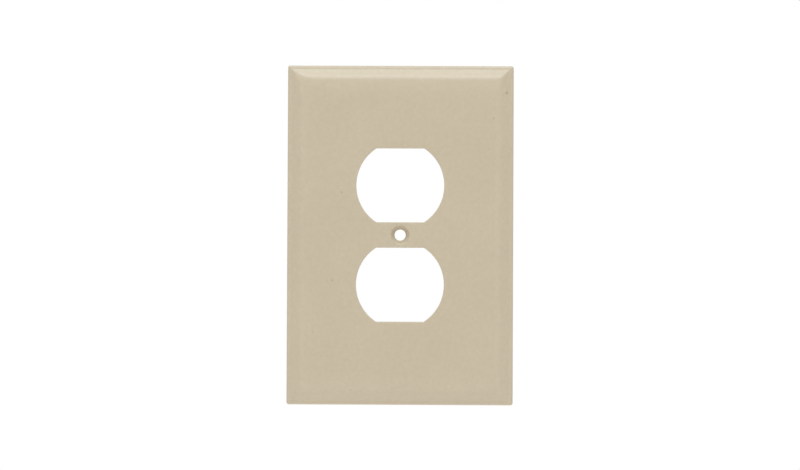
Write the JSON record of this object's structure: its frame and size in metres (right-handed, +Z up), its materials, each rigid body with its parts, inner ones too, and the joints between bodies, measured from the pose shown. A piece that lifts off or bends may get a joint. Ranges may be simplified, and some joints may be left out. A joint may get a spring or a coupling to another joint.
{
  "type": "duplex receptacle wall plate",
  "caption": "Oversize wall plate with a bevelled border, which covers a duplex receptacle and the opening cut in the wall for it.",
  "frame": {"origin": "on the axis of the screw hole, in the plane of the wall that the rear rim rests on", "axes": "+X is to the right seen from the front, +Y points into the wall, +Z is up as the plate hangs; the face looks toward -Y"},
  "size_m": [0.0888, 0.0065, 0.1334],
  "materials": {
    "ivory_plastic": "satin"
  },
  "bodies": {
    "root": {"wall_plate": "ivory_plastic"}
  },
  "joints": []
}
